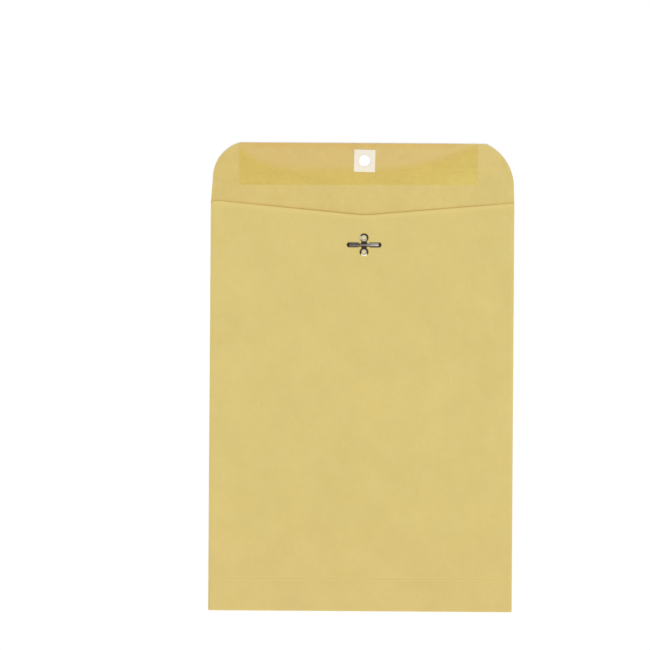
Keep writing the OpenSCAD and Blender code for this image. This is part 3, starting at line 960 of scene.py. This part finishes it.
def drifted(r, tone):
    """A tone of the sheet's inside, which drifts from the left side to the right one."""
    return r.tinted(tone, r.across(-110 * MM, 110 * MM), DRIFT)


def kraft_tones(r, sheet, colours):
    """Colour of the kraft sheet: outside, inside, and inside above the gum.

    The inside has painted shade at the tip and just above the mouth, and painted light under the
    bores. The outside is a little darker towards the bottom and has painted shade along the mouth.
    """
    above = r.span(gum_distance(r, sheet), -2.5 * MM, 0.5 * MM)
    at_tip = r.across(sheet.tip_y - 6 * MM, sheet.tip_y, 1)
    inside = r.mix(above, colours.inside, r.tinted(colours.coated, at_tip, TIP_SHADE))
    blotch = r.span(r.noise(9 * MM, 6.0, 0.7, turn=1.7), 0.3, 0.7)
    inside = r.lighter(r.tinted(drifted(r, inside), blotch, BLOTCH), 1.032)
    from_mouth = mouth_distance(r, sheet)
    fading_up = r.span(from_mouth, 0.3 * MM, 2.6 * MM, 1.0, 0.0)
    fading_down = r.span(from_mouth, -3.0 * MM, -1.0 * MM)
    inside = r.tinted(inside, r.math("MULTIPLY", fading_up, fading_down), MOUTH_SHADE)
    inside = r.tinted(inside, under_bores(r, sheet), BORE_GLOW)
    outside = r.tinted(colours.kraft, r.across(-45 * MM, -175 * MM, 1), LOWER_BACK)
    # Painted shade along the back's border at the mouth, on its outside only
    off_border = r.math("ABSOLUTE", r.math("ADD", from_mouth, 0.3 * MM))
    border = r.span(off_border, 0.4 * MM, 1.0 * MM, 1.0, 0.0)
    border = r.math("MULTIPLY", border, r.across(0.3 * MM, 0.4 * MM, 2))
    return r.mix(r.share("inside"), r.tinted(outside, border, MOUTH_BORDER_SHADE), inside)


def paper(r, base, plain):
    """Uncoated paper: clouds, short crossing fibres, dark flecks, worn folds, pale raw edges.

    base is the colour that the marks are laid on, and plain the one that they are mixed from.
    The pale raw edges also carry a painted highlight, and painted light where a shadow falls.
    """
    cloud = r.noise(40 * MM, 9.0, 0.74)
    warmth = r.noise(17 * MM, 7.0, 0.72, turn=0.9)
    fibre_a = r.noise(0.7 * MM, 2.0, 0.6, (1, 0.16, 1), 0.5)
    fibre_b = r.noise(0.7 * MM, 2.0, 0.6, (0.16, 1, 1), 0.3)
    fibre = r.math("MAXIMUM", fibre_a, fibre_b)
    fleck = r.span(r.noise(1.6 * MM, 1.0, 0.5, (1, 0.3, 1), 1.1), 0.72, 0.8)

    warm = r.tinted(base, r.span(warmth, 0.3, 0.7), WARM)
    clouded = r.span(cloud, 0.25, 0.75, -0.054, 0.054)
    value = r.math("ADD", clouded, r.span(fibre, 0.35, 0.85, -0.022, 0.022))
    toned = r.lighter(warm, r.math("ADD", value, 1.0))
    flecked = r.mix(r.math("MULTIPLY", fleck, 0.16), toned, shaded(plain, 0.55))
    worn = r.math("MULTIPLY", r.share("crease"), r.span(fibre, 0.4, 0.7, 0.15, 0.5))
    # Pale colour of raw edges, also laid as a painted highlight and as painted light beside the
    # bottom flap's edge
    edge = (plain[0] * 1.06, plain[1] * 1.04, plain[2] * 1.01)
    folded = r.mix(worn, flecked, shaded(plain, 1.12))
    coarse = r.bump(cloud, 0.05 * MM, 0.5)
    return r.surface(
        {
            "Base Color": r.mix(r.share("raw"), folded, edge),
            "Roughness": r.span(fibre, 0.3, 0.9, 0.78, 0.92),
            "Specular IOR Level": 0.22,
            "Sheen Weight": 0.06,
            "Sheen Roughness": 0.6,
            "Sheen Tint": (1.0, 0.93, 0.75, 1),
            "Normal": r.bump(fibre, 0.02 * MM, 0.6, coarse),
        }
    )


def dried_gum(r, colours):
    """Dried gum: a satin film with faint streaks, which thins out to the fibrous paper below."""
    cloud = r.noise(26 * MM, 8.0, 0.7)
    streak = r.noise(5 * MM, 4.0, 0.6, (0.15, 1, 1))
    fibre = r.noise(0.8 * MM, 2.0, 0.6, (0.3, 1, 1), 0.4)
    clouded = r.span(cloud, 0.25, 0.75, -0.6, 0.6)
    tone = r.math("ADD", clouded, r.span(streak, 0.3, 0.7, -0.3, 0.3))
    film = r.mix(r.share("thick"), colours.gum, colours.pale_gum)
    film = r.tinted(film, r.across(-45 * MM, -90 * MM), LEFT_GUM)
    film = r.tinted(film, r.span(tone, -0.6, 0.6), GUM_CLOUD)
    film = r.tinted(film, r.span(fibre, 0.4, 0.8, 0.0, 0.66), GUM_FIBRE)
    thin = r.share("thin")
    paper_tone = r.tinted(drifted(r, colours.coated), 0.5, WARM)
    gloss = r.span(streak, 0.3, 0.7, 0.42, 0.58)
    coarse = r.bump(streak, 0.04 * MM, 0.4)
    return r.surface(
        {
            "Base Color": r.mix(thin, r.lighter(film, 1.07), paper_tone),
            "Roughness": r.math("ADD", gloss, r.math("MULTIPLY", thin, 0.3)),
            "Specular IOR Level": 0.3,
            "Normal": r.bump(fibre, 0.015 * MM, 0.5, coarse),
        }
    )


def tinplate(r, colours):
    """Stamped tinplate: drawn along the clasp, clouded, pitted, partly tarnished, painted light and
    shade.
    """
    drawn = r.noise(0.35 * MM, 3.0, 0.6, (0.08, 1, 1))
    cloud = r.noise(1.8 * MM, 4.0, 0.6)
    pit = r.span(r.noise(0.25 * MM, 1.0, 0.5), 0.66, 0.74)
    # Painted highlight: bright tin where the points' share lays it
    painted_highlight = r.share("painted_highlight")
    streaked = r.mix(r.span(drawn, 0.3, 0.7), shaded(colours.tin, 0.9), shaded(colours.tin, 1.08))
    # Dark tin as painted shade and dark reflection, partly tarnished, with clouds and pits
    dark = r.math("ADD", r.share("tarnish_and_shade"), r.span(cloud, 0.4, 0.8, -0.03, 0.08))
    dark = r.math("MINIMUM", r.math("ADD", dark, r.math("MULTIPLY", pit, 0.15)), 1.0)
    smooth = r.math("ADD", r.math("MULTIPLY", painted_highlight, 0.2), 0.24)
    height = r.math("SUBTRACT", drawn, r.math("MULTIPLY", pit, 0.6))
    return r.surface(
        {
            "Base Color": r.mix(dark, r.mix(painted_highlight, streaked, colours.bright), colours.tarnish_and_shade),
            "Metallic": 1.0,
            "Roughness": r.math("ADD", smooth, r.span(dark, 0.0, 1.0, 0.0, 0.26)),
            "Normal": r.bump(height, 0.006 * MM, 0.4),
        }
    )


# ---------------------------------------------------------------------------------------------
# Operators
# ---------------------------------------------------------------------------------------------


def near(distance, width):
    """Share that falls off like a bell with a distance, to about a third at one width."""
    return np.exp(-((distance / width) ** 2))


def sheet_shares(sheet, x, y, z):
    """Shares of the sheet's points: inside on its inner face, crease at folds, raw at edges."""
    t, fold_width = sheet.sizes.thickness, 0.5 * MM
    middle = sheet.flap_z(x, y)
    front = z < middle + t
    level = z - sheet.rise(x, y)
    back = ~front & (level > sheet.back_z) & (level < sheet.bottom_flap_z)
    bottom = ~front & (level > sheet.bottom_flap_z)
    free_edge = sheet.bottom_y + sheet.sizes.bottom_flap_height
    sides = near(sheet.half_width - abs(x), fold_width) * (y < sheet.fold_y + t)
    crease = np.maximum(sides, near(y - sheet.bottom_y, fold_width))
    flap_crease = 0.3 * front * near(y - sheet.fold_y, fold_width)
    # The raw share holds pale raw edges and painted light: a painted highlight in a band below the
    # mouth and at the bottom flap's free edge, and painted light on the back beside that edge,
    # where its shadow falls
    raw_and_lit_mouth = back * near(abs(sheet.mouth(x) - y - 1.6 * MM), 1.5 * MM)
    raw_and_lit_free_edge = bottom * near(free_edge - y, 0.7 * MM)
    painted_light_beside = 0.4 * back * near(y - free_edge, 0.5 * MM)
    return {
        "inside": front & (z > middle),
        "crease": np.maximum(crease, flap_crease),
        "raw": raw_and_lit_mouth + raw_and_lit_free_edge + painted_light_beside,
    }


def eyelet_shares(sheet, x, y):
    """Shares of the middle plate's points: painted shade on its neck and rims, painted highlight in
    its bores.

    The shade is also painted dark reflection, and partly tarnished. The painted highlight also lies
    on the lower rim's foot, and at a spot on the upper rim's left.
    """
    clasp = sheet.clasp
    bore, rim_edge = clasp.eyelet_bore / 2, 0.05 * MM
    across, along = x - sheet.shift, y - sheet.clasp_y
    from_eyelet = along - np.sign(along) * clasp.eyelet_pitch / 2
    radius = np.hypot(across, from_eyelet)
    ring = radius < bore + clasp.rim_width + rim_edge
    down, left = (-value / np.maximum(radius, 1e-6) for value in (from_eyelet, across))
    # Painted highlight at the lower rim's foot, at a spot on the upper rim's left, and in the bores
    foot = (along < 0) * eased((down - 0.45) / 0.3)
    spot = 0.8 * (along > 0) * eased((left - 0.8) / 0.15)
    shoulder = bore + (0.2 + 0.5 * eased(down / 0.7)) * MM
    barrel = (0.75 + 0.25 * eased(down)) * eased((shoulder - radius) / (0.15 * MM))
    painted_highlight = np.maximum(np.maximum(foot, spot), barrel)
    # Painted shade and dark reflection, partly tarnished, on the neck, the rims and the plate
    neck = abs(along) > clasp.middle_bead_width / 2 * 0.8
    tarnish_and_shade = np.where(ring, 0.95 * (1 - painted_highlight), np.where(neck, 1.0, 0.55))
    return {"tarnish_and_shade": tarnish_and_shade, "painted_highlight": ring * painted_highlight}


def prong_shares(sheet, side, x, y):
    """Shares of a prong's points: painted shade along both flanks and over the tip, less on its
    crest.

    The shade is also painted dark reflection, and partly tarnished. The crest lies a little above
    the prong's middle. The left crest is painted darker, and the right one painted lighter with a
    painted highlight towards its tip, as the light comes from the right.
    """
    clasp = sheet.clasp
    crest_shift, crest_half, crest_fade = 0.35 * MM, 0.6 * MM, 0.6 * MM
    tip_length, tip_fade = 2.9 * MM, 1.2 * MM
    from_crease = side * (x - sheet.shift) - clasp.crease_pitch / 2
    from_tip = clasp.prong_length - from_crease
    flank = eased((abs(y - sheet.clasp_y - crest_shift) - crest_half) / crest_fade)
    tip = eased((tip_length - from_tip) / tip_fade)
    outward = from_crease / clasp.prong_length
    # Painted light and shade: the left crest darker, the right one lighter towards its tip, as the
    # light comes from the right
    crest = 0.81 if side < 0 else 0.53 - 0.38 * outward
    tarnish_and_shade = np.maximum(np.maximum(crest, 0.87 * flank), tip)
    return {"tarnish_and_shade": tarnish_and_shade, "painted_highlight": (side > 0) * 0.5 * eased(outward) * (1 - flank)}


def current_sheet(context):
    """The folded sheet in its present sizes."""
    scene = context.scene
    return FoldedSheet(scene.envelope_sheet, scene.envelope_closure, scene.envelope_clasp)


class ENVELOPE_OT_kraft_sheet(bpy.types.Operator):
    """Fold the kraft sheet into its pocket, with its seam, bottom flap and opened seal flap"""

    bl_idname = "envelope.kraft_sheet"
    bl_label = "Kraft Sheet"

    def execute(self, context):
        sheet = current_sheet(context)
        colours = context.scene.envelope_colours
        patches, kept = sheet_patches(sheet)
        piece = new_piece("kraft_sheet", patches, sheet.sizes.thickness, kept)
        set_shares(piece, sheet_shares(sheet, *mesh_points(piece)))
        kraft = Recipe("kraft_paper")
        material = paper(kraft, kraft_tones(kraft, sheet, colours), colours.kraft)
        finish_piece(piece, material, "pocket", "envelope")
        return {"FINISHED"}


class ENVELOPE_OT_hole_patch(bpy.types.Operator):
    """Stick the white patch round the hole of the seal flap"""

    bl_idname = "envelope.hole_patch"
    bl_label = "Hole Patch"

    def execute(self, context):
        sheet = current_sheet(context)
        thickness = sheet.closure.patch_thickness
        lift = (sheet.sizes.thickness + thickness) / 2
        piece = new_piece("hole_patch", [sheet.on_flap(patch_plan(sheet), lift)], thickness)
        white = context.scene.envelope_colours.patch
        material = paper(Recipe("patch_paper"), white, white)
        finish_piece(piece, material, "pocket", "flap_patch")
        return {"FINISHED"}


class ENVELOPE_OT_seal_gum(bpy.types.Operator):
    """Spread the dried gum on the seal flap"""

    bl_idname = "envelope.seal_gum"
    bl_label = "Seal Gum"

    def execute(self, context):
        sheet = current_sheet(context)
        thickness = sheet.closure.gum_thickness
        lift = (sheet.sizes.thickness + thickness) / 2
        grids = [sheet.on_flap(plan, lift) for plan in gum_plans(sheet)]
        piece = new_piece("seal_gum_film", grids, thickness)
        set_shares(piece, gum_shares(sheet, *mesh_points(piece)[:2]))
        material = dried_gum(Recipe("dried_gum"), context.scene.envelope_colours)
        finish_piece(piece, material, "pocket", "seal_gum")
        return {"FINISHED"}


class ENVELOPE_OT_clasp(bpy.types.Operator):
    """Stamp the clasp: its middle with two eyelets, and a prong on each side"""

    bl_idname = "envelope.clasp"
    bl_label = "Tinplate Clasp"

    def execute(self, context):
        sheet = current_sheet(context)
        tin, middle_round, prong_round = sheet.clasp.tin, 0.07 * MM, 0.09 * MM
        material = tinplate(Recipe("tinplate"), context.scene.envelope_colours)
        patches = clasp_patches(sheet)
        middle = new_piece("clasp_middle", patches, tin, edge_round=middle_round)
        set_shares(middle, eyelet_shares(sheet, *mesh_points(middle)[:2]))
        finish_piece(middle, material, "pocket", "clasp_base")
        prongs = (("prong_left", -1, "left_prong"), ("prong_right", 1, "right_prong"))
        for name, side, body in prongs:
            prong = new_piece(name, [prong_patch(sheet, side)], tin, edge_round=prong_round)
            set_shares(prong, prong_shares(sheet, side, *mesh_points(prong)[:2]))
            finish_piece(prong, material, body, body)
        return {"FINISHED"}


class ENVELOPE_OT_stage(bpy.types.Operator):
    """Lay a pale floor, set the soft light all round and place the camera"""

    bl_idname = "envelope.stage"
    bl_label = "Stage"

    def execute(self, context):
        scene = context.scene
        studio = scene.envelope_studio
        lay_floor(scene.envelope_colours.floor)
        light_sky(scene, studio.sky_strength)
        hang_key(studio.key_strength)
        place_camera(scene, studio)
        scene.view_settings.view_transform = "Standard"
        return {"FINISHED"}


def lay_floor(pale):
    """Flat floor just under the envelope, white to the camera and in gloss, with its shadow."""
    half, level, glow = 3.0, -0.01 * MM, 0.06
    corners = [(-half, -half), (half, -half), (half, half), (-half, half)]
    mesh = bpy.data.meshes.new("floor")
    mesh.from_pydata([(x, y, level) for x, y in corners], [], [[0, 1, 2, 3]])
    floor = bpy.data.objects.new("floor", mesh)
    bpy.context.scene.collection.objects.link(floor)
    r = Recipe("floor")
    seen = r.add("LightPath").outputs
    direct = r.math("MAXIMUM", seen["Is Glossy Ray"], seen["Is Transmission Ray"])
    direct = r.math("MAXIMUM", seen["Is Camera Ray"], direct)
    material = r.surface(
        {
            "Base Color": (*pale, 1),
            "Roughness": 0.95,
            "Specular IOR Level": 0.0,
            "Emission Color": (1, 1, 1, 1),
            "Emission Strength": r.math("MULTIPLY", direct, glow),
        }
    )
    mesh.materials.append(material)


def light_sky(scene, strength):
    """Soft light all round: bright overhead, dim at the horizon, brighter towards the key."""
    towards_key, dimmer, brighter = (0.45, -0.9, 0.0), 0.75, 1.25
    horizon, top, between = 0.25, 0.85, {0.35: 0.55, 0.65: 1.0, 0.9: 1.0}
    world = bpy.data.worlds.new("studio")
    world.use_nodes = True
    sky = Nodes(world.node_tree)
    place = sky.add("TexCoord").outputs["Generated"]
    ramp = sky.add("ValToRGB", {0: sky.add("SeparateXYZ", {0: place}).outputs["Z"]})
    ramp.color_ramp.interpolation = "EASE"
    stops = ramp.color_ramp.elements
    stops[0].color, stops[1].color = ((level, level, level, 1) for level in (horizon, top))
    for position, level in between.items():
        stops.new(position).color = (level, level, level, 1)
    lean = sky.add("VectorMath", {0: place, 1: towards_key}, operation="DOT_PRODUCT")
    side = sky.span(lean.outputs["Value"], -1.0, 1.0, dimmer, brighter)
    level = sky.math("MULTIPLY", sky.math("MULTIPLY", ramp.outputs[0], side), strength)
    seen = sky.add("LightPath").outputs["Is Camera Ray"]
    background = sky.tree.nodes["Background"].inputs
    sky.feed(background["Strength"], sky.add("Mix", {0: seen, 2: level, 3: 1.0}).outputs[0])
    sky.feed(background["Color"], (1, 1, 1, 1))
    scene.world = world


def hang_key(strength):
    """Wide soft lamp from the lower right, so that soft shadows fall up and to the left."""
    spread, tilt, turn = (math.radians(degrees) for degrees in (30, 38, 28))
    light = bpy.data.lights.new("key", "SUN")
    light.energy = strength
    light.angle = spread
    light.color = (1.0, 0.985, 0.96)
    lamp = bpy.data.objects.new("key", light)
    lamp.rotation_euler = (tilt, 0, turn)
    bpy.context.scene.collection.objects.link(lamp)


def place_camera(scene, studio):
    """Camera straight above, turned a little so that the envelope leans as in the photograph."""
    lens = bpy.data.cameras.new("camera")
    lens.lens = studio.focal_length
    lens.sensor_width = 36
    lens.clip_start, lens.clip_end = 0.01, 20
    camera = bpy.data.objects.new("camera", lens)
    camera.location = (studio.camera_x, studio.camera_y, studio.camera_height)
    camera.rotation_euler = (0, 0, studio.camera_roll)
    scene.collection.objects.link(camera)
    scene.camera = camera


class ENVELOPE_PT_panel(bpy.types.Panel):
    """Sidebar panel that lists the pieces of the envelope and its stage"""

    bl_idname = "ENVELOPE_PT_panel"
    bl_label = "Clasp Envelope"
    bl_space_type = "VIEW_3D"
    bl_region_type = "UI"
    bl_category = "Envelope"

    def draw(self, context):
        for operator in OPERATORS:
            self.layout.operator(operator.bl_idname)
        for name in GROUPS:
            group = getattr(context.scene, name)
            box = self.layout.box()
            for field in group.bl_rna.properties:
                if field.identifier not in {"rna_type", "name"}:
                    box.prop(group, field.identifier)


OPERATORS = (
    ENVELOPE_OT_kraft_sheet,
    ENVELOPE_OT_hole_patch,
    ENVELOPE_OT_seal_gum,
    ENVELOPE_OT_clasp,
    ENVELOPE_OT_stage,
)
GROUPS = {
    "envelope_sheet": EnvelopeSheet,
    "envelope_closure": EnvelopeClosure,
    "envelope_clasp": EnvelopeClasp,
    "envelope_colours": EnvelopeColours,
    "envelope_studio": EnvelopeStudio,
}
CLASSES = (*GROUPS.values(), *OPERATORS, ENVELOPE_PT_panel)


def register():
    for each in CLASSES:
        bpy.utils.register_class(each)
    for name, group in GROUPS.items():
        setattr(bpy.types.Scene, name, bpy.props.PointerProperty(type=group))


def unregister():
    for name in GROUPS:
        delattr(bpy.types.Scene, name)
    for each in reversed(CLASSES):
        bpy.utils.unregister_class(each)


def main():
    register()
    bpy.ops.envelope.kraft_sheet()
    bpy.ops.envelope.hole_patch()
    bpy.ops.envelope.seal_gum()
    bpy.ops.envelope.clasp()
    bpy.ops.envelope.stage()


if __name__ == "__main__":
    main()
